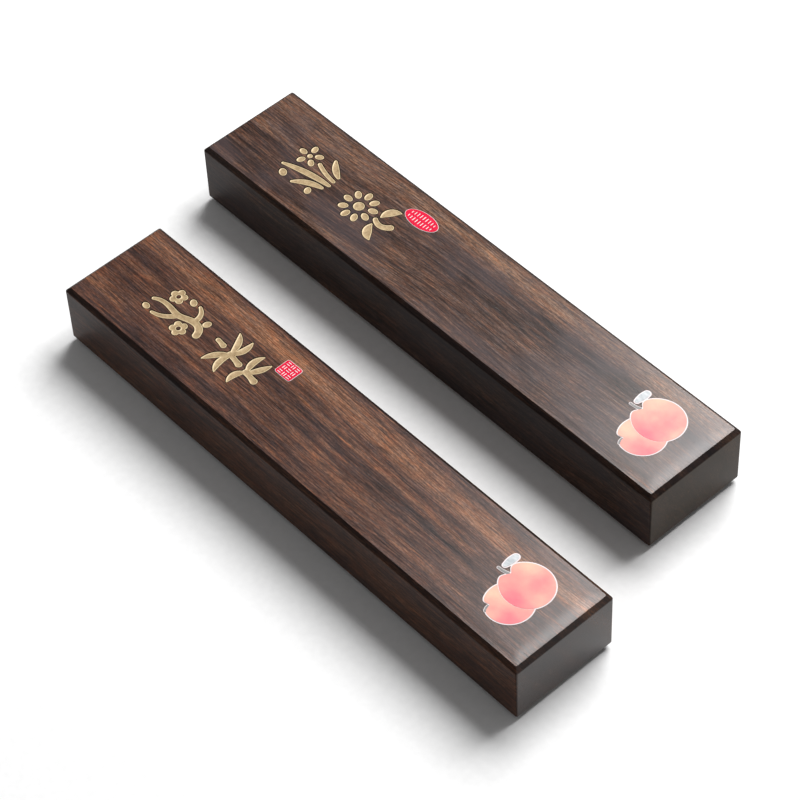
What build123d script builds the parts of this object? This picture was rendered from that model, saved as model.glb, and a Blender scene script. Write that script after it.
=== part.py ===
from build123d import *
import math
import os

# A pair of weighted hardwood bars that hold paper flat on a desk.
# Frame: origin on the desk, at the middle of the pair's footprint; +X along the bars, +Z up.
# Inside a bar, "along" runs from its plain end to its fruit end and "across" from its near long side.

# Bars
BAR_LENGTH = 158.0
BAR_WIDTH = 30.0
BAR_HEIGHT = 19.0
BAR_GAP = 25.1  # clear distance between the two bars
STAGGER = 13.2  # how far the front bar is ahead of the back bar along X

# Edges of a wooden block
TOP_EASE = 1.15
BOTTOM_EASE = 1.2
ARRIS_RADIUS = 0.6

# Underside: a felt sheet in a rebate, and a steel bar in a pocket above it
FELT_LENGTH = 149.4
FELT_WIDTH = 23.4
FELT_THICKNESS = 1.0
FELT_PROUD = 0.4  # how far the felt stands below the wood
FELT_CORNER = 3.0
FELT_GAP = 0.3
CORE_LENGTH = 120.0
CORE_WIDTH = 18.0
CORE_HEIGHT = 8.0
CORE_EASE = 0.6
CORE_SIDE_GAP = 0.3
CORE_TOP_GAP = 0.2

# Gilt inlays: paint lying in a cut recess
RECESS_DEPTH = 0.5
GILT_THICKNESS = 0.38
RECESS_GAP = 0.15  # bare wall left round the gilt
CUTTER_EXCESS = 1.0  # how far a cutting solid stands out of the face that it cuts

# Printed films on the top face
BASE_FILM = 0.08
INK_FILM = 0.06
PRINT_RIM = 0.28  # pale underbase showing round each ink film
SEAL_RIM = 0.12
SEAL_LINE = 0.26

# Where things lie on a bar's top face: (along, across) of each centre
PLUM_AT = (26.0, 14.9)
BAMBOO_AT = (46.9, 14.9)
ORCHID_AT = (25.2, 14.4)
CHRYSANTHEMUM_AT = (46.0, 14.3)
SQUARE_SEAL_AT = (58.3, 21.5)
OVAL_SEAL_AT = (57.6, 22.0)
LARGE_FRUIT_AT = (143.3, 18.05)
SMALL_FRUIT_AT = (143.6, 11.9)

# Seals: the square one has a weave of short lines, the oval one rows of reeds
SQUARE_SEAL_SIZE = (5.3, 4.8)
SQUARE_SEAL_CORNER = 0.7
WEAVE_CELL = 1.45
WEAVE_LINE_LENGTH = 1.07
WEAVE_LINE_OFFSET = 0.33  # each of a cell's two lines lies this far from the cell's middle
OVAL_SEAL_SIZE = (10.4, 5.2)
OVAL_SEAL_TILT = 3.0
REED_PITCH = 0.92
REEDS_EACH_WAY = 4  # reeds on either side of the middle one
REED_BAND = 0.6  # plain band between the two rows
REED_MARGIN = 0.75  # from the oval's edge
REED_FILL = 0.72  # the part of the height left over that a reed takes

LARGE_FRUIT_RADIUS = 6.4
SMALL_FRUIT_RADIUS = 6.0

WOOD_BASE = FELT_PROUD
REBATE_TOP = FELT_THICKNESS
POCKET_TOP = FELT_THICKNESS + CORE_HEIGHT + CORE_TOP_GAP


def brush_stroke(spine_points, widths, grow=0.0):
    """A stroke with round ends: its width runs smoothly through the start, middle and end widths."""
    if len(spine_points) == 2:
        spine = Line(*spine_points)
    else:
        spine = Spline(*spine_points)
    start, middle, end = widths
    stations = 7
    left, right = [], []
    for step in range(stations):
        t = step / (stations - 1)
        width = start * (1 - t) * (1 - 2 * t) + 4 * middle * t * (1 - t) + end * t * (2 * t - 1)
        reach = width / 2 + grow
        centre = spine @ t
        direction = spine % t
        normal = Vector(-direction.Y, direction.X)
        left.append(centre + normal * reach)
        right.append(centre - normal * reach)
    start_tip = (spine @ 0) - (spine % 0) * (start / 2 + grow)
    end_tip = (spine @ 1) + (spine % 1) * (end / 2 + grow)
    outline = [
        Spline(*left),
        ThreePointArc(left[-1], end_tip, right[-1]),
        Spline(*reversed(right)),
        ThreePointArc(right[0], start_tip, left[0]),
    ]
    return make_face(outline)


def dot(across, up, size, grow=0.0, stretch=1.0, turn=0.0):
    """A round or slightly oval dab."""
    dab = Ellipse(size / 2 * stretch + grow, size / 2 + grow)
    return Pos(across, up) * Rot(0, 0, turn) * dab


def ring_of_dots(centre, count, radius, size, first_angle, grow=0.0, stretch=1.0):
    """Dabs set evenly round a centre, each pointing outwards."""
    made = []
    for number in range(count):
        angle = first_angle + number * 360 / count
        across = centre[0] + radius * math.cos(math.radians(angle))
        up = centre[1] + radius * math.sin(math.radians(angle))
        made.append(dot(across, up, size, grow, stretch, angle))
    return made


def blossom(centre, first_angle, grow=0.0):
    """Five round petals run together, with an open eye."""
    middle = dot(centre[0], centre[1], 2.0, grow)
    eye = dot(centre[0], centre[1], 1.1, -grow)
    return middle + ring_of_dots(centre, 5, 1.4, 2.0, first_angle, grow) - eye


# Each inlay is drawn upright, (across, up), about its own centre.


def plum(grow=0.0):
    """A plum sprig: a bent bough, two twigs, two blossoms and buds."""
    bough = [(-1.9, -8.3), (0.5, -4.6), (-0.8, -0.6), (-0.5, 3.0), (-1.5, 8.1)]
    return [
        brush_stroke(bough, (2.1, 1.8, 1.1), grow),
        brush_stroke([(-0.9, -0.4), (-3.4, 1.8), (-4.7, 5.0)], (1.6, 1.4, 1.0), grow),
        brush_stroke([(0.4, -4.6), (2.9, -4.2), (4.6, -2.2)], (1.7, 1.4, 1.0), grow),
        blossom((3.1, 4.2), 18, grow),
        blossom((-3.5, -3.6), 54, grow),
        dot(-4.3, 7.6, 1.8, grow, 1.3, 80),
        dot(4.4, 0.1, 1.9, grow, 1.3, 60),
        dot(2.2, -7.5, 1.9, grow, 1.3, -20),
    ]


def bamboo(grow=0.0):
    """A bamboo cane in three lengths, with pointed leaves fanning from its joints."""
    leaf = (0.8, 1.9, 0.5)
    return [
        brush_stroke([(-1.5, -8.0), (-0.9, -4.6)], (2.0, 1.6, 2.0), grow),
        brush_stroke([(-0.6, -1.5), (0.1, 2.3)], (1.9, 1.5, 1.9), grow),
        brush_stroke([(0.7, 5.6), (1.0, 7.8)], (1.7, 1.4, 1.4), grow),
        brush_stroke([(-0.4, 2.0), (-3.2, 2.4), (-6.2, 1.0)], leaf, grow),
        brush_stroke([(-0.2, 2.6), (-2.8, 4.8), (-5.6, 6.2)], leaf, grow),
        brush_stroke([(0.4, 2.4), (3.2, 3.3), (6.0, 5.6)], leaf, grow),
        brush_stroke([(0.4, 1.9), (3.0, 0.9), (6.2, 1.2)], leaf, grow),
        brush_stroke([(-0.7, -4.6), (2.0, -3.6), (5.2, -4.2)], leaf, grow),
        brush_stroke([(-0.8, -5.0), (1.6, -6.4), (4.6, -7.4)], leaf, grow),
        brush_stroke([(-1.2, -4.4), (-3.5, -3.2), (-6.1, -3.6)], leaf, grow),
    ]


def orchid(grow=0.0):
    """Arching orchid leaves, a flower on its stalk and two buds."""
    leaf = (1.1, 1.9, 0.9)
    flower = (2.8, 3.8)
    shapes = [
        brush_stroke([(-2.5, -6.6), (-3.9, -2.6), (-6.3, 0.4)], leaf, grow),
        brush_stroke([(-0.7, -7.3), (-1.5, -0.8), (-3.6, 6.8)], leaf, grow),
        brush_stroke([(2.8, -6.9), (4.2, -4.4), (6.2, -2.2)], leaf, grow),
        brush_stroke([(1.0, -7.1), (1.6, -3.2), (2.6, -0.2)], (1.1, 1.3, 1.2), grow),
        dot(flower[0], flower[1], 1.5, grow),
        dot(-5.6, -4.8, 1.9, grow, 1.25, 30),
        dot(-5.7, 4.4, 2.1, grow, 1.3, 60),
    ]
    return shapes + ring_of_dots(flower, 5, 2.45, 1.75, 90, grow, 1.4)


def chrysanthemum(grow=0.0):
    """A round flower head on a stalk with two leaves."""
    head = (0.0, 3.0)
    leaf = (0.7, 2.5, 0.6)
    shapes = [
        brush_stroke([(-0.1, -3.2), (-0.8, -5.6), (0.6, -7.9)], (1.4, 1.7, 1.9), grow),
        brush_stroke([(-1.9, -3.7), (-4.0, -4.5), (-5.8, -7.0)], leaf, grow),
        brush_stroke([(1.5, -3.6), (3.6, -4.0), (5.8, -6.2)], leaf, grow),
        dot(head[0], head[1], 3.0, grow),
    ]
    return shapes + ring_of_dots(head, 9, 3.95, 1.9, 90, grow, 1.45)


def raise_from(shapes, height):
    """The joined flat shapes, made a solid of the given height."""
    joined = Sketch() + shapes
    return extrude(joined, height)


def inlay(motif, at, base, height, grow=0.0):
    """A motif as a solid on the bar, its up direction pointing to the bar's plain end."""
    return Pos(at[0], at[1], base) * Rot(0, 0, 90) * raise_from(motif(grow), height)


def fruit_outline(centre, radius, lobe, notch, notch_angle, notch_width, grow=0.0):
    """A rounded fruit: fuller beside its stem and dented at it. Lobe and notch are parts of the radius,
    and the angles are in degrees."""
    lobe_width = 55
    points = []
    count = 40
    for step in range(count):
        from_notch = step * 360 / count
        angle = from_notch + notch_angle
        turned = (from_notch + 180) % 360 - 180
        swell = lobe * math.exp(-(turned / lobe_width) ** 2)
        dent = notch * math.exp(-(turned / notch_width) ** 2)
        reach = radius * (1 + swell - dent) + grow
        ray = math.radians(angle)
        points.append((centre[0] + reach * math.cos(ray), centre[1] + reach * math.sin(ray)))
    return make_face(Spline(*points, periodic=True))


def large_fruit_shape(grow=0.0):
    dent = {"notch": 0.27, "notch_angle": 184.5, "notch_width": 12}
    return fruit_outline(LARGE_FRUIT_AT, LARGE_FRUIT_RADIUS, lobe=0.17, grow=grow, **dent)


def small_fruit_shape(grow=0.0):
    dent = {"notch": 0.24, "notch_angle": 234, "notch_width": 10}
    return fruit_outline(SMALL_FRUIT_AT, SMALL_FRUIT_RADIUS, lobe=0.03, grow=grow, **dent)


def leaf_shape(grow=0.0):
    return brush_stroke([(135.35, 21.7), (135.3, 18.5)], (2.2, 2.35, 1.7), grow)


def stem_shapes(grow=0.0):
    """The large fruit's stalk and the small fruit's stub."""
    return [
        brush_stroke([(134.7, 16.9), (136.0, 17.0), (137.5, 17.35)], (0.5, 0.55, 0.7), grow),
        brush_stroke([(140.9, 7.9), (141.0, 7.2), (141.4, 6.6)], (0.6, 0.6, 0.7), grow),
    ]


def seal_window(across, up, width, height):
    """A fine line left open in a seal's ink."""
    return Pos(across, up) * Rectangle(width, height)


def square_seal_windows():
    """A basket weave: pairs of short lines that turn by a quarter from one cell to the next."""
    windows = []
    for column in (-1, 0, 1):
        for row in (-1, 0, 1):
            across, up = column * WEAVE_CELL, row * WEAVE_CELL
            for offset in (-WEAVE_LINE_OFFSET, WEAVE_LINE_OFFSET):
                if (column + row) % 2 == 0:
                    window = seal_window(across, up + offset, WEAVE_LINE_LENGTH, SEAL_LINE)
                else:
                    window = seal_window(across + offset, up, SEAL_LINE, WEAVE_LINE_LENGTH)
                windows.append(window)
    return windows


def oval_seal_windows():
    """A row of reeds on each side of a plain band, shorter towards the oval's ends."""
    windows = []
    half_length, half_width = OVAL_SEAL_SIZE[0] / 2, OVAL_SEAL_SIZE[1] / 2
    for number in range(-REEDS_EACH_WAY, REEDS_EACH_WAY + 1):
        along = number * REED_PITCH
        edge = half_width * math.sqrt(1 - (along / half_length) ** 2)
        tall = (edge - REED_MARGIN) * REED_FILL
        for side in (-1, 1):
            windows.append(seal_window(along, side * (REED_BAND + tall) / 2, SEAL_LINE, tall))
    return windows


def square_seal(grow=0.0):
    width, height = SQUARE_SEAL_SIZE
    return RectangleRounded(width + 2 * grow, height + 2 * grow, SQUARE_SEAL_CORNER + grow)


def oval_seal(grow=0.0):
    width, height = OVAL_SEAL_SIZE
    return Ellipse(width / 2 + grow, height / 2 + grow)


def film(shapes, base, height):
    return Pos(0, 0, base) * raise_from(shapes, height)


def hardwood_block():
    """The plain block: eased edges, and below, the felt's rebate and the steel bar's pocket."""
    wood_height = BAR_HEIGHT - FELT_PROUD
    low_corner = (Align.MIN, Align.MIN, Align.MIN)
    block = Pos(0, 0, WOOD_BASE) * Box(BAR_LENGTH, BAR_WIDTH, wood_height, align=low_corner)
    block = chamfer(block.edges().group_by(Axis.Z)[-1], TOP_EASE)
    block = chamfer(block.edges().group_by(Axis.Z)[0], BOTTOM_EASE)
    levels = block.edges().group_by(Axis.Z)
    kept_sharp = levels[-1] + levels[0]
    block = fillet([edge for edge in block.edges() if edge not in kept_sharp], ARRIS_RADIUS)
    middle = Pos(BAR_LENGTH / 2, BAR_WIDTH / 2)
    rebate_outline = RectangleRounded(FELT_LENGTH + 2 * FELT_GAP, FELT_WIDTH + 2 * FELT_GAP, FELT_CORNER)
    pocket_outline = Rectangle(CORE_LENGTH + 2 * CORE_SIDE_GAP, CORE_WIDTH + 2 * CORE_SIDE_GAP)
    block -= middle * extrude(rebate_outline, REBATE_TOP)
    block -= middle * extrude(pocket_outline, POCKET_TOP)
    return block


def weight_core():
    core = Box(CORE_LENGTH, CORE_WIDTH, CORE_HEIGHT, align=(Align.CENTER, Align.CENTER, Align.MIN))
    core = chamfer(core.edges(), CORE_EASE)
    return Pos(BAR_LENGTH / 2, BAR_WIDTH / 2, FELT_THICKNESS) * core


def felt_base():
    sheet = extrude(RectangleRounded(FELT_LENGTH, FELT_WIDTH, FELT_CORNER), FELT_THICKNESS)
    return Pos(BAR_LENGTH / 2, BAR_WIDTH / 2) * sheet


def fruit_print():
    """The pale underbase and the four ink films that lie on it."""
    ink_level = BAR_HEIGHT + BASE_FILM
    base_shapes = [large_fruit_shape(), small_fruit_shape(), leaf_shape()] + stem_shapes(PRINT_RIM / 2)
    large = large_fruit_shape(-PRINT_RIM)
    small = small_fruit_shape(-PRINT_RIM) - large_fruit_shape(-PRINT_RIM / 2)
    leaf = leaf_shape(-PRINT_RIM)
    stems = [stem - large - small - leaf for stem in stem_shapes()]
    return {
        "print_base": film(base_shapes, BAR_HEIGHT, BASE_FILM),
        "large_fruit": film([large], ink_level, INK_FILM),
        "small_fruit": film([small], ink_level, INK_FILM),
        "leaf": film([leaf], ink_level, INK_FILM),
        "stems": film(stems, ink_level, INK_FILM),
    }


def seal_print(outline, windows, at, tilt):
    """A seal: its pale underbase, and red ink with fine lines left open."""
    place = Pos(at[0], at[1]) * Rot(0, 0, tilt)
    ink = outline(-SEAL_RIM) - windows
    return {
        "seal_base": place * film([outline()], BAR_HEIGHT, BASE_FILM),
        "seal_ink": place * film([ink], BAR_HEIGHT + BASE_FILM, INK_FILM),
    }


def bar(motifs, seal):
    """All the pieces of one bar, with its near plain corner at the origin."""
    pieces = {"body": hardwood_block()}
    recess_floor = BAR_HEIGHT - RECESS_DEPTH
    for name, (motif, at) in motifs.items():
        pieces["body"] -= inlay(motif, at, recess_floor, RECESS_DEPTH + CUTTER_EXCESS, RECESS_GAP)
        pieces[name] = inlay(motif, at, recess_floor, GILT_THICKNESS)
    pieces["weight_core"] = weight_core()
    pieces["felt_base"] = felt_base()
    pieces.update(seal)
    pieces.update(fruit_print())
    return pieces


front_bar = bar(
    {"gilt_plum": (plum, PLUM_AT), "gilt_bamboo": (bamboo, BAMBOO_AT)},
    seal_print(square_seal, square_seal_windows(), SQUARE_SEAL_AT, 0.0),
)
back_bar = bar(
    {"gilt_orchid": (orchid, ORCHID_AT), "gilt_chrysanthemum": (chrysanthemum, CHRYSANTHEMUM_AT)},
    seal_print(oval_seal, oval_seal_windows(), OVAL_SEAL_AT, OVAL_SEAL_TILT),
)

pair_length = BAR_LENGTH + STAGGER
front_corner = (-pair_length / 2 + STAGGER, -BAR_WIDTH - BAR_GAP / 2)
back_corner = (-pair_length / 2, BAR_GAP / 2)

os.makedirs("parts", exist_ok=True)
for side, pieces, corner in (("front", front_bar, front_corner), ("back", back_bar, back_corner)):
    for name, piece in pieces.items():
        export_step(Pos(corner[0], corner[1]) * piece, f"parts/{side}_{name}.step")
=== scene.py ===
import math

import bpy
import numpy as np
from mathutils import Matrix, Vector, noise
from mathutils.geometry import delaunay_2d_cdt


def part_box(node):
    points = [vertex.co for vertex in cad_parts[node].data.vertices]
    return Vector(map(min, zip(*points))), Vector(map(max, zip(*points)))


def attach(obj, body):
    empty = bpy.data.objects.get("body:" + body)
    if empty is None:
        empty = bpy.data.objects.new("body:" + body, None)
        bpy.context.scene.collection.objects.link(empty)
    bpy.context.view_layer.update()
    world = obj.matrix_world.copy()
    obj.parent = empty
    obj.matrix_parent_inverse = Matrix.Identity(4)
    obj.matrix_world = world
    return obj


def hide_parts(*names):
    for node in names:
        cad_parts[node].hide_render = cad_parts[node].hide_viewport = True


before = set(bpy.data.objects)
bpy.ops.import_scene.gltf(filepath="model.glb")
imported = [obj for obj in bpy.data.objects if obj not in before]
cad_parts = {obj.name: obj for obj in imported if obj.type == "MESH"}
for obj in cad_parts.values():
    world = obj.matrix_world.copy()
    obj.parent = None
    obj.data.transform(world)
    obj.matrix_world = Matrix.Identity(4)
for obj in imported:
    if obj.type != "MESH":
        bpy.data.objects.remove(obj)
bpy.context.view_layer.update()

# Two hardwood bars in studio light. Lengths are in metres, unless a name ends in _mm or _MM.

MM = 0.001
SIDES = ("front", "back")

# Camera: a long lens looking down on the pair from beyond the fruit ends.
CAMERA_AIM_MM = (4.7, -3.1, 9.5)
CAMERA_DISTANCE_MM = 726.6
CAMERA_AZIMUTH = 49.91
CAMERA_ELEVATION = 49.66
CAMERA_ROLL = -3.14
LENS_MM = 137.5

# Light: one soft box, high up behind the back bar, in an evenly lit white room.
KEY_PLACE = (-0.105, 0.675, 0.96)
KEY_SIZE = (0.74, 0.7)
KEY_POWER = 21.5
ROOM_STRENGTH = 0.22
FLOOR_REACH = 3.0


# ---------------------------------------------------------------- shader helpers


class Graph:
    """The node tree of one new material, with short calls for the nodes that the materials share."""

    def __init__(self, name):
        self.material = bpy.data.materials.new(name)
        self.material.use_nodes = True
        self.tree = self.material.node_tree
        self.tree.nodes.clear()
        self.shader = self.node("ShaderNodeBsdfPrincipled")
        output = self.node("ShaderNodeOutputMaterial")
        self.tree.links.new(self.shader.outputs[0], output.inputs["Surface"])

    def node(self, kind, **settings):
        made = self.tree.nodes.new(kind)
        for key, value in settings.items():
            setattr(made, key, value)
        return made

    def feed(self, socket, value):
        if isinstance(value, bpy.types.NodeSocket):
            self.tree.links.new(value, socket)
        else:
            socket.default_value = value

    def surface(self, **values):
        """Sets or links the shader's own sockets; spaces in their names are written as underscores."""
        for key, value in values.items():
            self.feed(self.shader.inputs[key.replace("_", " ")], value)

    def place(self, per_mm=(1, 1, 1), shift=(0, 0, 0), source=None):
        """Object coordinates, stretched so that a texture of scale 1 has the given cells per millimetre."""
        if source is None:
            source = self.node("ShaderNodeTexCoord").outputs["Object"]
        mapping = self.node("ShaderNodeMapping")
        self.feed(mapping.inputs["Vector"], source)
        mapping.inputs["Scale"].default_value = [cells / MM for cells in per_mm]
        mapping.inputs["Location"].default_value = shift
        return mapping.outputs["Vector"]

    def noise(self, vector, detail=2.0, roughness=0.5, distortion=0.0, output="Fac"):
        made = self.node("ShaderNodeTexNoise")
        self.feed(made.inputs["Vector"], vector)
        made.inputs["Scale"].default_value = 1.0
        made.inputs["Detail"].default_value = detail
        made.inputs["Roughness"].default_value = roughness
        made.inputs["Distortion"].default_value = distortion
        return made.outputs[output]

    def cells(self, vector):
        made = self.node("ShaderNodeTexVoronoi")
        self.feed(made.inputs["Vector"], vector)
        made.inputs["Scale"].default_value = 1.0
        return made.outputs["Distance"]

    def math(self, operation, a, b=0.0, clamp=False):
        made = self.node("ShaderNodeMath", operation=operation, use_clamp=clamp)
        self.feed(made.inputs[0], a)
        self.feed(made.inputs[1], b)
        return made.outputs[0]

    def vector(self, operation, a, b=(0, 0, 0)):
        made = self.node("ShaderNodeVectorMath", operation=operation)
        self.feed(made.inputs[0], a)
        self.feed(made.inputs[1], b)
        return made.outputs["Value" if operation in ("DOT_PRODUCT", "LENGTH") else "Vector"]

    def fit(self, value, low, high, to_low=0.0, to_high=1.0):
        """The value's stretch from low to high, eased into the new range and held at its ends."""
        made = self.node("ShaderNodeMapRange", interpolation_type="SMOOTHSTEP")
        for socket, number in zip(made.inputs, (value, low, high, to_low, to_high)):
            self.feed(socket, number)
        return made.outputs[0]

    def ramp(self, value, stops):
        made = self.node("ShaderNodeValToRGB")
        self.feed(made.inputs[0], value)
        elements = made.color_ramp.elements
        while len(elements) < len(stops):
            elements.new(0.5)
        for element, (position, colour) in zip(elements, stops):
            element.position = position
            element.color = (*colour, 1)
        return made.outputs["Color"]

    def mix(self, factor, a, b, blend="MIX"):
        made = self.node("ShaderNodeMix", data_type="RGBA", blend_type=blend)
        self.feed(made.inputs["Factor"], factor)
        for socket, colour in zip((made.inputs[6], made.inputs[7]), (a, b)):
            self.feed(socket, colour if isinstance(colour, bpy.types.NodeSocket) else (*colour, 1))
        return made.outputs[2]

    def shade(self, colour, amount):
        """The colour times a grey amount."""
        grey = self.node("ShaderNodeCombineColor")
        for socket in grey.inputs:
            self.feed(socket, amount)
        return self.mix(1.0, colour, grey.outputs[0], "MULTIPLY")

    def bump(self, height, depth_mm, strength=1.0):
        made = self.node("ShaderNodeBump")
        self.feed(made.inputs["Height"], height)
        made.inputs["Distance"].default_value = depth_mm * MM
        made.inputs["Strength"].default_value = strength
        return made.outputs["Normal"]


# ---------------------------------------------------------------- materials


LAYER_TILT = 28.0       # the growth layers' slant from upright, in degrees
LAYER_BEND_MM = 140.0   # the radius that the layers bend to
HUES = [  # from cool to warm
    (0.36, (0.82, 0.94, 1.16)),
    (0.50, (1.0, 1.0, 1.0)),
    (0.64, (1.14, 0.94, 0.82)),
]
DUST = (0.070, 0.055, 0.060)
PAINTED_SHADE_KEEPS = 0.12    # the part of its colour that wood keeps under the fullest painted shade


class Timber:
    """Places in one bar's solid wood, in millimetres from the middle of its top face. The grain runs
    along X, so the streaks on the top run down the ends as growth layers."""

    def __init__(self, graph, top_middle, shift, drift_mm):
        g = self.graph = graph
        self.shift = shift
        self.tilt = math.radians(LAYER_TILT)
        whole = g.place(shift=[-c / MM for c in top_middle])
        slow = g.noise(g.place((0.011, 0.03, 0.03), shift), 1.0, output="Color")
        drift = g.vector("MULTIPLY", g.vector("SUBTRACT", slow, (0.5, 0.5, 0.5)), (0, drift_mm, drift_mm))
        grain = g.vector("ADD", whole, drift)
        self.along = g.vector("DOT_PRODUCT", grain, (1, 0, 0))
        self.tangent = g.vector("DOT_PRODUCT", grain, (0, -math.sin(self.tilt), math.cos(self.tilt)))
        bend = g.math("MULTIPLY", g.math("MULTIPLY", self.tangent, self.tangent), 0.5 / LAYER_BEND_MM)
        straight = g.vector("DOT_PRODUCT", grain, (0, math.cos(self.tilt), math.sin(self.tilt)))
        self.across = g.math("ADD", straight, bend)

    def stretched(self, length_mm, width_mm, flatness):
        """A place with cells that are long along the grain and, less so, along the growth layers."""
        g = self.graph
        place = g.node("ShaderNodeCombineXYZ")
        sizes = (length_mm, width_mm, width_mm * flatness)
        for socket, value, size in zip(place.inputs, (self.along, self.across, self.tangent), sizes):
            g.feed(socket, g.math("MULTIPLY", value, 1 / size))
        return g.vector("ADD", place.outputs[0], self.shift)

    def noise(self, length_mm, width_mm, flatness, detail=2.0, roughness=0.5):
        return self.graph.noise(self.stretched(length_mm, width_mm, flatness), detail, roughness)

    def banded(self, tone, streaks, bands):
        """The tone, darker or lighter in some layers. A band is its place across the top from the
        middle, its rise per millimetre of length, its width and its strength, which is dark above 0."""
        g = self.graph
        for place_mm, rise, width_mm, strength in bands:
            line = g.math("ADD", g.math("MULTIPLY", self.along, rise), place_mm * math.cos(self.tilt))
            off = g.math("ABSOLUTE", g.math("SUBTRACT", self.across, line))
            fraying = g.math("MULTIPLY", g.math("SUBTRACT", streaks, 0.5), width_mm * 1.6)
            tone = g.math("SUBTRACT", tone, g.fit(g.math("ADD", off, fraying), 0.0, width_mm, strength, 0.0))
        return tone


def facing_masks(g):
    """How far the surface faces along the grain, faces sideways, and is an eased edge between faces. The
    last two also place the painted shade on the long sides and eased edges.
    """
    normal = g.node("ShaderNodeTexCoord").outputs["Normal"]
    end_grain, flank = (
        g.fit(g.math("ABSOLUTE", g.vector("DOT_PRODUCT", normal, axis)), 0.75, 0.97)
        for axis in ((1, 0, 0), (0, 1, 0))
    )
    square = g.vector("MULTIPLY", normal, normal)
    eased = g.fit(g.vector("DOT_PRODUCT", square, square), 0.5, 0.95, 1.0, 0.0)
    return end_grain, flank, eased


def wood_material(name, finish, top_middle, shift, colours, glint_colour, drift_mm, bands, grey, end_colour):
    """Straight-grained hardwood, with painted shade on its long sides and eased edges. The finish is the
    shader's specular level and the least roughness.
    """
    gloss, roughness = finish
    g = Graph(name)
    timber = Timber(g, top_middle, shift, drift_mm)

    # The growth layers' tone, in three sizes of streak.
    figure = timber.noise(110, 4.5, 4)
    streaks = timber.noise(32, 1.1, 4, 3.0, 0.62)
    threads = timber.noise(8, 0.34, 3, 3.0, 0.65)
    tone = g.math("ADD", g.math("MULTIPLY", figure, 0.38), g.math("MULTIPLY", streaks, 0.34))
    tone = g.math("ADD", tone, g.math("MULTIPLY", threads, 0.28))
    colour = g.ramp(timber.banded(tone, streaks, bands), colours)

    # Bright threads in the lighter streaks, dark veins, and patches of cooler and warmer wood.
    glints = g.fit(timber.noise(14, 0.36, 3, 2.0, 0.6), 0.56, 0.70)
    glints = g.math("MULTIPLY", glints, g.fit(streaks, 0.42, 0.60))
    colour = g.mix(g.math("MULTIPLY", glints, 0.45), colour, glint_colour)
    colour = g.shade(colour, g.fit(timber.noise(15, 0.40, 3, 2.0, 0.6), 0.30, 0.44, 0.5, 1.0))
    colour = g.mix(1.0, colour, g.ramp(timber.noise(5, 0.6, 2, 3.0, 0.65), HUES), "MULTIPLY")

    # Fine light and dark: threads, fibres, specks and open pores, and a faint dust over them.
    fibres = timber.noise(3.6, 0.17, 1.5, 2.0, 0.6)
    specks = timber.noise(0.9, 0.24, 1.5, 2.0, 0.6)
    pores = g.fit(g.cells(timber.stretched(6.5, 0.36, 1)), 0.13, 0.22, 1.0, 0.0)
    light = g.fit(threads, 0.35, 0.65, 0.72, 1.28)
    light = g.math("MULTIPLY", light, g.fit(fibres, 0.35, 0.65, 0.78, 1.22))
    light = g.math("MULTIPLY", light, g.fit(specks, 0.35, 0.65, 0.72, 1.28))
    light = g.math("MULTIPLY", light, g.math("SUBTRACT", 1.0, g.math("MULTIPLY", pores, 0.6)))
    dust = g.noise(g.place((0.05, 0.08, 0.08), shift), 2.0)
    colour = g.mix(g.fit(dust, 0.35, 0.65, 0.0, grey), g.shade(colour, light), DUST)

    # The ends take their own colour. The long sides and the eased edges get painted shade: they are darker
    # than the top, as if less light fell on them.
    end_grain, flank, eased = facing_masks(g)
    colour = g.mix(g.math("MULTIPLY", end_grain, 0.8), colour, end_colour)
    # painted shade: the long sides and the eased edges are darkened towards a fixed part of their colour
    dark = g.math("MAXIMUM", g.math("MULTIPLY", flank, 0.6), g.math("MULTIPLY", eased, 0.85))
    colour = g.mix(dark, colour, g.shade(colour, PAINTED_SHADE_KEEPS))

    relief = g.math("SUBTRACT", g.math("MULTIPLY", fibres, 0.3), pores)
    rough = g.fit(threads, 0.3, 0.7, roughness, roughness + 0.03)
    rough = g.math("ADD", rough, g.math("MULTIPLY", pores, 0.04))
    rough = g.math("ADD", rough, g.math("MULTIPLY", eased, 0.35))
    g.surface(Base_Color=colour, Roughness=rough, Normal=g.bump(relief, 0.008, 0.5))
    g.shader.inputs["Specular IOR Level"].default_value = gloss
    return g.material


def burnt_wood_material():
    """The cut walls and floor of a recess, darkened by the cutting."""
    g = Graph("burnt_wood")
    grit = g.noise(g.place((2.5, 7.0, 7.0)), 3.0)
    colour = g.ramp(grit, [(0.3, (0.008, 0.005, 0.004)), (0.7, (0.03, 0.018, 0.012))])
    g.surface(Base_Color=colour, Roughness=g.fit(grit, 0.3, 0.7, 0.6, 0.85), Normal=g.bump(grit, 0.06))
    return g.material


RIM_GAP = "rim_gap_mm"   # how far a point of the paint is from its recess wall
GILT = [
    (0.3, (0.20, 0.125, 0.055)),
    (0.5, (0.34, 0.235, 0.115)),
    (0.68, (0.50, 0.37, 0.20)),
]
# The paint's lighter rim colour is a painted highlight, and its dark outline colour is painted shade at the
# recess wall.
GILT_RIM_HIGHLIGHT = (0.68, 0.54, 0.32)
GILT_WALL_SHADE = (0.05, 0.03, 0.02)


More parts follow.
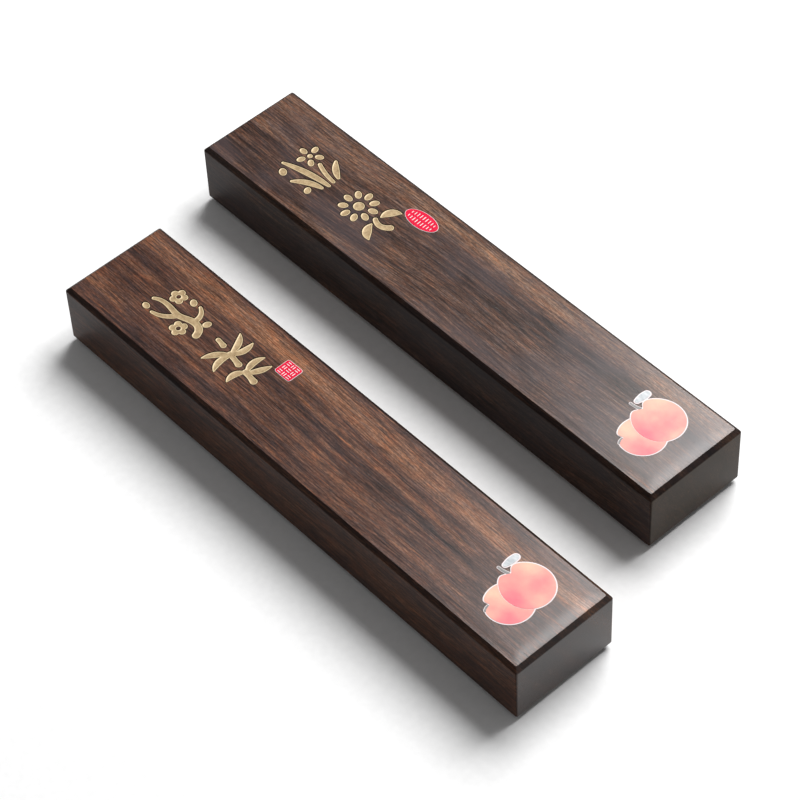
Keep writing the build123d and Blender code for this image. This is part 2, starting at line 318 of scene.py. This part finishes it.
def gilt_material():
    """Gold paint that has dried in a recess: fine metal flake in a satin binder. A painted highlight
    lightens it just inside its rim, and painted shade darkens it where it meets the recess wall.
    """
    g = Graph("gilt_paint")
    flake = g.noise(g.place((9.0, 9.0, 9.0)), 2.0)
    cloud = g.noise(g.place((0.9, 1.1, 1.1)), 3.0, 0.6)
    tone = g.math("ADD", g.math("MULTIPLY", flake, 0.4), g.math("MULTIPLY", cloud, 0.6))
    colour = g.ramp(tone, GILT)
    rim = g.node("ShaderNodeAttribute", attribute_name=RIM_GAP).outputs["Fac"]
    # painted highlight on the raised lip just inside the rim, then painted shade in the crease at the wall
    colour = g.mix(g.fit(rim, 0.16, 0.36, 0.75, 0.0), colour, GILT_RIM_HIGHLIGHT)
    colour = g.mix(g.fit(rim, 0.0, 0.06, 0.9, 0.0), colour, GILT_WALL_SHADE)
    g.surface(Base_Color=colour, Roughness=g.fit(flake, 0.3, 0.7, 0.4, 0.55), Normal=g.bump(tone, 0.03, 0.6))
    g.shader.inputs["Metallic"].default_value = 0.15
    return g.material


def ink_material(name, dark, pale, roughness=0.4, grain_mm=0.35, gloss=0.5):
    """A printed ink film of one colour, slightly uneven as it lies over the grain."""
    g = Graph(name)
    fine = g.noise(g.place((0.4 / grain_mm, 1 / grain_mm, 1 / grain_mm)), 3.0)
    colour = g.ramp(fine, [(0.32, dark), (0.68, pale)])
    uneven = g.fit(fine, 0.3, 0.7, roughness - 0.06, roughness + 0.08)
    g.surface(Base_Color=colour, Roughness=uneven, Normal=g.bump(fine, 0.012, 0.6))
    g.shader.inputs["Specular IOR Level"].default_value = gloss
    return g.material


CREAM = (0.76, 0.46, 0.31)
PEACH = (0.76, 0.33, 0.25)
SALMON = (0.76, 0.23, 0.20)
PINK = (0.76, 0.095, 0.14)


def fruit_material(name, centre, blushes):
    """Watercolour-like fruit ink: cream and peach with soft blushes. A blush is its place from the
    fruit's centre and its reach, in millimetres, its strength and its colour."""
    g = Graph(name)
    whole = g.place()
    wander = g.noise(g.place((0.3, 0.3, 0.3)), 3.0, output="Color")
    wander = g.vector("MULTIPLY", g.vector("SUBTRACT", wander, (0.5, 0.5, 0.5)), (4.0, 4.0, 0))
    spot = g.vector("SUBTRACT", g.vector("ADD", whole, wander), [c / MM for c in centre])
    colour = g.ramp(g.noise(g.place((0.22, 0.22, 0.22)), 2.0), [(0.35, SALMON), (0.65, PEACH)])
    for (along, across), (long_reach, wide_reach), strength, tint in blushes:
        offset = g.vector("SUBTRACT", spot, (along, across, 0))
        offset = g.vector("MULTIPLY", offset, (1 / long_reach, 1 / wide_reach, 0))
        amount = g.fit(g.vector("LENGTH", offset), 0.0, 1.0, strength, 0.0)
        colour = g.mix(amount, colour, tint)
    wash = g.noise(g.place((1.2, 1.6, 1.6)), 4.0, 0.6)
    colour = g.shade(colour, g.fit(wash, 0.3, 0.7, 0.95, 1.05))
    g.surface(Base_Color=colour, Roughness=g.fit(wash, 0.3, 0.7, 0.36, 0.48), Normal=g.bump(wash, 0.01, 0.5))
    return g.material


FELT = [
    (0.3, (0.006, 0.006, 0.008)),
    (0.55, (0.018, 0.018, 0.021)),
    (0.75, (0.06, 0.06, 0.065)),
]


def felt_material():
    """Dense black wool felt."""
    g = Graph("wool_felt")
    lint = g.noise(g.place((1.6, 1.6, 1.6)), 6.0, 0.75, 0.6)
    clumps = g.cells(g.place((2.2, 2.2, 2.2)))
    height = g.math("ADD", lint, g.math("MULTIPLY", clumps, 0.3))
    uneven = g.fit(lint, 0.3, 0.7, 0.85, 1.0)
    g.surface(Base_Color=g.ramp(lint, FELT), Roughness=uneven, Normal=g.bump(height, 0.25))
    g.shader.inputs["Sheen Weight"].default_value = 0.35
    g.shader.inputs["Sheen Roughness"].default_value = 0.5
    return g.material


def steel_material():
    """Rolled steel bar with fine lines along its length."""
    g = Graph("rolled_steel")
    lines = g.noise(g.place((0.05, 5.0, 5.0)), 3.0)
    scale = g.noise(g.place((0.12, 0.2, 0.2)), 3.0)
    colour = g.ramp(scale, [(0.3, (0.22, 0.22, 0.23)), (0.7, (0.42, 0.41, 0.40))])
    g.surface(Base_Color=colour, Roughness=g.fit(lines, 0.3, 0.7, 0.3, 0.5), Normal=g.bump(lines, 0.02, 0.5))
    g.shader.inputs["Metallic"].default_value = 1.0
    return g.material


def floor_material():
    """Matt white card."""
    g = Graph("studio_card")
    tooth = g.noise(g.place((0.5, 0.5, 0.5)), 3.0)
    g.surface(Base_Color=g.ramp(tooth, [(0.3, (0.84, 0.84, 0.84)), (0.7, (0.88, 0.88, 0.88))]))
    g.shader.inputs["Roughness"].default_value = 0.9
    g.shader.inputs["Specular IOR Level"].default_value = 0.1
    return g.material


# ---------------------------------------------------------------- meshes

SAME_POINT_MM = 0.001  # points this near each other are one point
SAME_LEVEL_MM = 0.002  # points this near a level lie in it
POINTS_AT_ONCE = 400


def mesh_points(node):
    """A CAD node's vertices in metres."""
    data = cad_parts[node].data
    points = np.zeros(len(data.vertices) * 3, np.float32)
    data.vertices.foreach_get("co", points)
    return points.reshape(-1, 3).astype(float)


def welded(node):
    """A CAD node's points and faces with the vertices that share a place joined."""
    points = mesh_points(node)
    keys = np.round(points / (SAME_POINT_MM * MM)).astype(np.int64)
    _, first, inverse = np.unique(keys, axis=0, return_index=True, return_inverse=True)
    inverse = inverse.ravel()
    faces = []
    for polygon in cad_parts[node].data.polygons:
        corners = [int(inverse[v]) for v in polygon.vertices]
        corners = [c for i, c in enumerate(corners) if c != corners[i - 1]]
        if len(set(corners)) > 2:
            faces.append(corners)
    return points[first], faces


def boundary_edges(faces):
    """The directed edges that only one of these faces uses."""
    seen = {}
    for face in faces:
        for a, b in zip(face, face[1:] + face[:1]):
            seen[(a, b)] = seen.get((a, b), 0) + 1
    return [edge for edge in seen if (edge[1], edge[0]) not in seen]


def distance_to_edges(points, starts, ends):
    """Each flat point's distance to the nearest of the edges, a block of points at a time."""
    run = ends - starts
    length_squared = np.maximum((run * run).sum(1), 1e-18)
    found = []
    for block in np.array_split(points, max(1, len(points) // POINTS_AT_ONCE)):
        gap = block[:, None, :] - starts[None]
        along = np.clip((gap * run[None]).sum(2) / length_squared[None], 0, 1)
        nearest = gap - along[..., None] * run[None]
        found.append(np.sqrt((nearest * nearest).sum(2).min(1)))
    return np.concatenate(found)


def inside_outline(points, starts, ends):
    """Whether each flat point lies within the closed loops that the edges make."""
    crossings = np.zeros(len(points), int)
    for (ax, ay), (bx, by) in zip(starts, ends):
        if ay == by:
            continue
        between = (points[:, 1] > min(ay, by)) & (points[:, 1] <= max(ay, by))
        at = ax + (points[:, 1] - ay) * (bx - ax) / (by - ay)
        crossings += between & (points[:, 0] < at)
    return crossings % 2 == 1


def staggered_grid(low, high, pitch):
    """Points in rows that are offset by half a pitch from each other."""
    rows = []
    row_pitch = pitch * math.sqrt(0.75)
    for number in range(int((high[1] - low[1]) / row_pitch) + 1):
        start = low[0] + pitch * (0.25 if number % 2 else 0.75)
        across = np.arange(start, high[0], pitch)
        rows.append(np.stack([across, np.full(len(across), low[1] + number * row_pitch)], 1))
    return np.concatenate(rows)


def triangle_net(rim, edges, inner):
    """A flat net of triangles through the inner points, as far as the rim that the edges make. Returns
    its points, the number in the rim of each one that has one, and its triangles."""
    flat = [Vector(p) for p in np.concatenate([rim, inner])]
    net, _, triangles, origin, _, _ = delaunay_2d_cdt(flat, edges, [], 0, 1e-9)
    net = np.array([tuple(p) for p in net])
    starts, ends = (rim[[edge[i] for edge in edges]] for i in (0, 1))
    kept = inside_outline(net[np.array(triangles)].mean(1), starts, ends)
    in_rim = [next((s for s in sources if s < len(rim)), None) for sources in origin]
    return net, in_rim, [triangle for triangle, keep in zip(triangles, kept) if keep]


def at_level(points, level):
    return np.abs(points[:, 2] - level) < SAME_LEVEL_MM * MM


def refill_top(points, faces, level, inner_points, height_at):
    """Replaces the flat faces at the given level by a fine triangle net through inner_points and lifts
    the net and its rim to height_at(flat points, distance to the rim). Returns points and faces."""
    flat = at_level(points, level)
    top = [face for face in faces if all(flat[c] for c in face)]
    rest = [face for face in faces if not all(flat[c] for c in face)]
    rim = boundary_edges(top)
    rim_corners = sorted({c for edge in rim for c in edge})
    number = {corner: i for i, corner in enumerate(rim_corners)}
    starts, ends = (points[[edge[i] for edge in rim]][:, :2] for i in (0, 1))
    inner = inner_points(starts, ends)
    edges = [(number[a], number[b]) for a, b in rim]
    net, in_rim, triangles = triangle_net(points[rim_corners][:, :2], edges, inner)
    corners = []
    new_points = list(points)
    for place, rim_number in zip(net, in_rim):
        if rim_number is None:
            corners.append(len(new_points))
            new_points.append(np.array([*place, level]))
        else:
            corners.append(rim_corners[rim_number])
    made = [[corners[c] for c in triangle] for triangle in triangles]
    new_points = np.array(new_points)
    used = sorted({c for face in made for c in face})
    gap = distance_to_edges(new_points[used][:, :2], starts, ends)
    new_points[used, 2] = height_at(new_points[used], gap)
    return new_points, rest + made


def new_piece(name, points, faces, materials, body, sharp_angle=35):
    """A smooth-shaded mesh piece, sharp where its faces meet at more than the given angle."""
    data = bpy.data.meshes.new(name)
    used = sorted({c for face in faces for c in face})
    number = {corner: i for i, corner in enumerate(used)}
    data.from_pydata([tuple(points[c]) for c in used], [], [[number[c] for c in face] for face in faces])
    data.validate()
    data.shade_smooth()
    data.set_sharp_from_angle(angle=math.radians(sharp_angle))
    for material in materials:
        data.materials.append(material)
    piece = bpy.data.objects.new(name, data)
    bpy.context.scene.collection.objects.link(piece)
    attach(piece, body)
    return piece


# ---------------------------------------------------------------- pieces

FACE_ROLL_MM = 0.085  # how far a sanded face falls away at its edges
FACE_ROLL_REACH_MM = 1.6
FACE_PITCH_MM = 1.1
FACE_RIM_MM = 0.45    # no inner point of the face's net lies nearer than this to its rim
RECESS_INSET_MM = 2.0  # every recess lies at least this far inside the block's outline
RECESS_DEEPEST_MM = 1.0
RECESS_SHALLOWEST_MM = 1.3 * FACE_ROLL_MM  # below every part of the sanded face


def block_part(polygon, low, high):
    """Which finish a face of the block takes: 0 on the top or underside, 1 on a long side, 2 on an end
    and 3 in a recess."""
    x, y, z = polygon.center
    inset = RECESS_INSET_MM * MM
    within = low.x + inset < x < high.x - inset and low.y + inset < y < high.y - inset
    if within and high.z - RECESS_DEEPEST_MM * MM < z < high.z - RECESS_SHALLOWEST_MM * MM:
        return 3
    normal = polygon.normal
    if abs(normal.z) > 0.9:
        return 0
    return 1 if abs(normal.y) > abs(normal.x) else 2


def make_block(side, woods, burnt):
    """The wooden block: the CAD block with its top face sanded very slightly round towards the edges.
    Its face, long sides and ends each have their own finish."""
    node = f"{side}_body"
    points, faces = welded(node)
    low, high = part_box(node)
    level = high.z
    top = points[at_level(points, level)]
    face_low, face_high = top[:, :2].min(0), top[:, :2].max(0)

    def inner_points(starts, ends):
        grid = staggered_grid(face_low, face_high, FACE_PITCH_MM * MM)
        gap = distance_to_edges(grid, starts, ends)
        return grid[inside_outline(grid, starts, ends) & (gap > FACE_RIM_MM * MM)]

    def height_at(place, gap):
        to_edge = np.minimum(place[:, :2] - face_low, face_high - place[:, :2]).min(1) / MM
        fall = FACE_ROLL_MM * np.exp(-((to_edge / FACE_ROLL_REACH_MM) ** 2))
        return level - fall * MM

    points, faces = refill_top(points, faces, level, inner_points, height_at)
    materials = [woods["face"], woods["side"], woods["end"], burnt]
    piece = new_piece(f"{side}_block", points, faces, materials, f"{side}_bar", 25)
    for polygon in piece.data.polygons:
        polygon.material_index = block_part(polygon, low, high)
    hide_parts(node)


RIM_STEPS_MM = (0.05, 0.11, 0.2, 0.34)  # how far in from its wall the paint's outer rings of points lie
RIM_SPACING_MM = 0.11
RIM_CLEARANCE_MM = 0.12  # between the last ring and the grid of points within it
GILT_PITCH_MM = 0.3
GILT_LIP_MM = 0.07       # how high the paint stands just inside its edge
GILT_LIP_PLACE_MM = 0.11
GILT_LIP_REACH_MM = 0.12
GILT_DROP_MM = 0.16      # how far it drops at the wall itself
GILT_DROP_REACH_MM = 0.035
GILT_DISH_MM = 0.04      # how far it sinks in the middle
GILT_DISH_REACH_MM = 0.3
GILT_RIPPLE_MM = 0.022
GILT_FACE_DEPTH_MM = 0.25  # the whole of the paint's upper face lies within this of its flat level


def rings_inside(starts, ends):
    """Points in rings that follow the outline inwards, one ring for each of the rim steps."""
    run = ends - starts
    length = np.maximum(np.linalg.norm(run, axis=1), 1e-12)
    parts = np.ceil(length / (RIM_SPACING_MM * MM)).astype(int)
    edge = np.repeat(np.arange(len(run)), parts)
    part = np.concatenate([(np.arange(count) + 0.5) / count for count in parts])
    middle = starts[edge] + run[edge] * part[:, None]
    inward = np.stack([-run[:, 1], run[:, 0]], 1)[edge] / length[edge][:, None]
    found = []
    for step in RIM_STEPS_MM:
        ring = middle + inward * step * MM
        gap = distance_to_edges(ring, starts, ends)
        ring = ring[(gap > 0.93 * step * MM) & inside_outline(ring, starts, ends)]
        apart = max(0.4 * step, 0.05) * MM
        cells = np.round(ring / apart).astype(np.int64)
        found.append(ring[np.unique(cells, axis=0, return_index=True)[1]])
    return np.concatenate(found)


def store_rim_gap(piece, points, faces, lowest):
    """Gives each vertex its distance to the rim of the faces above the given height."""
    above = points[:, 2] > lowest
    rim = boundary_edges([face for face in faces if all(above[c] for c in face)])
    starts, ends = (points[[edge[i] for edge in rim]][:, :2] for i in (0, 1))
    places = np.array([v.co[:] for v in piece.data.vertices])
    gap = distance_to_edges(places[:, :2], starts, ends) / MM
    piece.data.attributes.new(RIM_GAP, "FLOAT", "POINT").data.foreach_set("value", gap.astype(np.float32))


def make_gilt(side, motif, material):
    """Gold paint in its recess: it climbs the walls a little and sinks towards the middle."""
    node = f"{side}_{motif}"
    points, faces = welded(node)
    low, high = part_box(node)

    def inner_points(starts, ends):
        grid = staggered_grid(low[:2], high[:2], GILT_PITCH_MM * MM)
        gap = distance_to_edges(grid, starts, ends)
        clear = gap > (RIM_STEPS_MM[-1] + RIM_CLEARANCE_MM) * MM
        return np.concatenate([rings_inside(starts, ends), grid[inside_outline(grid, starts, ends) & clear]])

    def height_at(place, gap):
        gap_mm = gap / MM
        lip = GILT_LIP_MM * np.exp(-((gap_mm - GILT_LIP_PLACE_MM) / GILT_LIP_REACH_MM) ** 2)
        edge = -GILT_DROP_MM * np.exp(-((gap_mm / GILT_DROP_REACH_MM) ** 2))
        dish = -GILT_DISH_MM * (1 - np.exp(-gap_mm / GILT_DISH_REACH_MM))
        wave = [noise.noise(Vector(p) / MM * 0.55) + 0.5 * noise.noise(Vector(p) / MM * 1.6) for p in place]
        ripple = GILT_RIPPLE_MM * np.array(wave) * np.clip(gap_mm / GILT_DISH_REACH_MM, 0, 1)
        return high.z + (lip + edge + dish + ripple) * MM

    points, faces = refill_top(points, faces, high.z, inner_points, height_at)
    piece = new_piece(f"{side}_{motif}_paint", points, faces, [material], f"{side}_bar", 50)
    store_rim_gap(piece, points, faces, high.z - GILT_FACE_DEPTH_MM * MM)
    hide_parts(node)


FELT_ROUND_MM = 0.28  # the radius of the sheet's soft edges
FELT_ROUND_STEPS = 4
FELT_CORNER_MM = 3.0  # the radius of its corners seen from above
FELT_CORNER_STEPS = 10
FELT_EDGE_PITCH_MM = 1.2
FELT_PITCH_MM = 1.3
FELT_RIM_MM = 0.7     # no inner point of a face's net lies nearer than this to its rim
FELT_LUMP_MM = 0.015
FELT_LUMPS_PER_MM = 0.35


def rounded_outline(half):
    """Points round the felt's outline, about its middle. Each is the place that its stretch of edge is
    rounded about, and the outward ray."""
    corner = FELT_CORNER_MM * MM
    ring = []
    for quarter, (sx, sy) in enumerate(((1, 1), (-1, 1), (-1, -1), (1, -1))):
        middle = (sx * (half.x - corner), sy * (half.y - corner))
        for step in range(FELT_CORNER_STEPS + 1):
            angle = math.radians(90 * (quarter + step / FELT_CORNER_STEPS))
            ring.append((middle, (math.cos(angle), math.sin(angle))))
    outline = []
    for (middle, ray), (next_middle, _) in zip(ring, ring[1:] + ring[:1]):
        outline.append((middle, ray))
        parts = int(math.dist(middle, next_middle) / (FELT_EDGE_PITCH_MM * MM))
        for part in range(1, parts):
            between = tuple(a + (b - a) * (part / parts) for a, b in zip(middle, next_middle))
            outline.append((between, ray))
    return outline


def soft_edge(low_z, high_z):
    """The felt's edge from its lower face to its upper: how far inside the outline, and how high."""
    edge = FELT_ROUND_MM * MM
    angles = [math.radians(90 * step / FELT_ROUND_STEPS) for step in range(FELT_ROUND_STEPS + 1)]
    lower = [(edge * (1 - math.sin(angle)), low_z + edge * (1 - math.cos(angle))) for angle in angles]
    upper = [(edge * (1 - math.cos(angle)), high_z - edge * (1 - math.sin(angle))) for angle in angles]
    return lower + upper


def make_felt(side, material):
    """The felt sheet, with soft edges and a slightly lumpy lower face."""
    node = f"{side}_felt_base"
    low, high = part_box(node)
    centre = (low + high) / 2
    outline = rounded_outline((high - low) / 2)
    profile = soft_edge(low.z, high.z)
    points, faces = [], []
    count = len(outline)
    for inset, z in profile:
        reach = FELT_CORNER_MM * MM - inset
        for (mx, my), (rx, ry) in outline:
            points.append((centre.x + mx + rx * reach, centre.y + my + ry * reach, z))
    for level in range(len(profile) - 1):
        for i in range(count):
            a, b = level * count + i, level * count + (i + 1) % count
            faces.append([a, b, b + count, a + count])
    rim = np.array([p[:2] for p in points[:count]])
    grid = staggered_grid(np.array(low[:2]), np.array(high[:2]), FELT_PITCH_MM * MM)
    ends = np.roll(rim, -1, axis=0)
    grid = grid[inside_outline(grid, rim, ends) & (distance_to_edges(grid, rim, ends) > FELT_RIM_MM * MM)]
    net, in_rim, triangles = triangle_net(rim, [(i, (i + 1) % count) for i in range(count)], grid)
    for z, first, lower in ((low.z, 0, True), (high.z, (len(profile) - 1) * count, False)):
        corners = []
        for (x, y), rim_number in zip(net, in_rim):
            if rim_number is None:
                corners.append(len(points))
                lump = noise.noise(Vector((x, y, z)) / MM * FELT_LUMPS_PER_MM) + 1.0
                points.append((x, y, z + (FELT_LUMP_MM * MM * lump if lower else 0.0)))
            else:
                corners.append(first + rim_number)
        for triangle in triangles:
            face = [corners[c] for c in triangle]
            faces.append(face[::-1] if lower else face)
    piece = new_piece(f"{side}_felt", np.array(points), faces, [material], f"{side}_bar", 60)
    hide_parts(node)


def paint(node, material):
    """Gives a CAD node that stays its finished material."""
    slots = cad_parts[node].data.materials
    slots.clear()
    slots.append(material)


# ---------------------------------------------------------------- the two bars

FRONT_WOOD = [
    (0.28, (0.022, 0.012, 0.010)),
    (0.40, (0.048, 0.023, 0.017)),
    (0.49, (0.088, 0.040, 0.026)),
    (0.57, (0.142, 0.064, 0.036)),
    (0.68, (0.230, 0.108, 0.058)),
]
BACK_WOOD = [
    (0.28, (0.020, 0.011, 0.008)),
    (0.40, (0.044, 0.023, 0.017)),
    (0.49, (0.080, 0.042, 0.029)),
    (0.57, (0.130, 0.070, 0.046)),
    (0.68, (0.200, 0.110, 0.066)),
]
FRONT_BANDS = [
    (-2.0, 0.01, 2.0, 0.03),
    (-9.5, 0.02, 2.6, 0.05),
    (10.0, -0.005, 4.5, -0.12),
    (1.0, -0.03, 1.0, 0.08),
]
BACK_BANDS = [
    (1.5, 0.035, 3.0, 0.11),
    (-8.5, -0.01, 4.0, 0.06),
    (10.5, 0.0, 4.0, -0.10),
]


WOODS = {
    "front": {
        "shift": (3.1, 7.7, 1.3),
        "colours": FRONT_WOOD,
        "glint_colour": (0.33, 0.135, 0.055),
        "drift_mm": 5.0,
        "bands": FRONT_BANDS,
        "grey": 0.12,
        "end_colour": (0.016, 0.013, 0.012),
    },
    "back": {
        "shift": (11.4, 2.2, 5.9),
        "colours": BACK_WOOD,
        "glint_colour": (0.24, 0.12, 0.065),
        "drift_mm": 8.0,
        "bands": BACK_BANDS,
        "grey": 0.45,
        "end_colour": (0.033, 0.024, 0.014),
    },
}
# The finish of each bar's top face, long sides and ends: the shader's specular level and the roughness.
FINISHES = {
    "front": {"face": (0.36, 0.19), "side": (0.12, 0.40), "end": (0.36, 0.22)},
    "back": {"face": (0.36, 0.19), "side": (0.09, 0.40), "end": (0.10, 0.30)},
}


def bar_woods(side):
    low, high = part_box(f"{side}_body")
    top_middle = Vector(((low.x + high.x) / 2, (low.y + high.y) / 2, high.z))
    return {
        part: wood_material(f"hardwood_{side}_{part}", finish, top_middle, **WOODS[side])
        for part, finish in FINISHES[side].items()
    }


burnt = burnt_wood_material()
gilt = gilt_material()
felt = felt_material()
steel = steel_material()
pale_ink = ink_material("pale_ink", (0.74, 0.64, 0.64), (0.84, 0.75, 0.75))
red_ink = ink_material("seal_red_ink", (0.56, 0.002, 0.028), (0.74, 0.004, 0.052), gloss=0.12)
leaf_ink = ink_material("leaf_ink", (0.36, 0.39, 0.41), (0.60, 0.62, 0.64), 0.42, 0.8)
stem_ink = ink_material("stem_ink", (0.12, 0.12, 0.12), (0.25, 0.25, 0.24), 0.42)
motifs = {"front": ("gilt_plum", "gilt_bamboo"), "back": ("gilt_orchid", "gilt_chrysanthemum")}

for side in SIDES:
    large_low, large_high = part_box(f"{side}_large_fruit")
    small_low, small_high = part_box(f"{side}_small_fruit")
    large_centre = (large_low + large_high) / 2
    small_centre = (small_low + small_high) / 2
    large_ink = fruit_material(f"{side}_large_fruit_ink", large_centre, [
        ((-4.4, 4.4), (5.0, 5.0), 0.85, CREAM),
        ((5.4, -1.4), (2.6, 4.6), 0.35, CREAM),
        ((1.5, 2.0), (3.6, 5.0), 0.5, PINK),
        ((0.8, -5.4), (8.0, 5.6), 1.0, PINK),
    ])
    small_ink = fruit_material(f"{side}_small_fruit_ink", small_centre, [
        ((-4.6, 0.5), (5.0, 5.0), 0.9, CREAM),
        ((4.2, -2.0), (6.5, 6.0), 0.85, PINK),
    ])
    make_block(side, bar_woods(side), burnt)
    for motif in motifs[side]:
        make_gilt(side, motif, gilt)
    make_felt(side, felt)
    paint(f"{side}_weight_core", steel)
    paint(f"{side}_seal_base", pale_ink)
    paint(f"{side}_seal_ink", red_ink)
    paint(f"{side}_print_base", pale_ink)
    paint(f"{side}_large_fruit", large_ink)
    paint(f"{side}_small_fruit", small_ink)
    paint(f"{side}_leaf", leaf_ink)
    paint(f"{side}_stems", stem_ink)


# ---------------------------------------------------------------- studio


def make_floor():
    corners = [(x * FLOOR_REACH, y * FLOOR_REACH, 0) for x, y in ((-1, -1), (1, -1), (1, 1), (-1, 1))]
    data = bpy.data.meshes.new("floor")
    data.from_pydata(corners, [], [(0, 1, 2, 3)])
    data.materials.append(floor_material())
    floor = bpy.data.objects.new("floor", data)
    bpy.context.scene.collection.objects.link(floor)


def aimed(location, target):
    """The placement of something at location whose -Z looks at target."""
    look = (Vector(location) - Vector(target)).to_track_quat("Z", "Y")
    return Matrix.Translation(location) @ look.to_matrix().to_4x4()


def soft_box(name, location, size, power, target=(0, 0, 0)):
    data = bpy.data.lights.new(name, "AREA")
    data.shape = "RECTANGLE"
    data.size, data.size_y = size
    data.energy = power
    light = bpy.data.objects.new(name, data)
    bpy.context.scene.collection.objects.link(light)
    light.matrix_world = aimed(location, target)


def make_world(strength):
    world = bpy.data.worlds.new("studio")
    world.use_nodes = True
    background = world.node_tree.nodes["Background"]
    background.inputs["Color"].default_value = (1, 1, 1, 1)
    background.inputs["Strength"].default_value = strength
    bpy.context.scene.world = world


def make_camera():
    azimuth, elevation = math.radians(CAMERA_AZIMUTH), math.radians(CAMERA_ELEVATION)
    back = Vector((
        math.sin(azimuth) * math.cos(elevation),
        -math.cos(azimuth) * math.cos(elevation),
        math.sin(elevation),
    ))
    data = bpy.data.cameras.new("camera")
    data.lens = LENS_MM
    data.sensor_width = 36.0
    data.clip_start, data.clip_end = 0.05, 20.0
    camera = bpy.data.objects.new("camera", data)
    bpy.context.scene.collection.objects.link(camera)
    location = Vector(CAMERA_AIM_MM) * MM + back * CAMERA_DISTANCE_MM * MM
    roll = Matrix.Rotation(math.radians(CAMERA_ROLL), 4, "Z")
    camera.matrix_world = aimed(location, location - back) @ roll
    bpy.context.scene.camera = camera


make_floor()
make_world(ROOM_STRENGTH)
soft_box("key", KEY_PLACE, KEY_SIZE, KEY_POWER)
make_camera()
bpy.context.scene.view_settings.view_transform = "Standard"
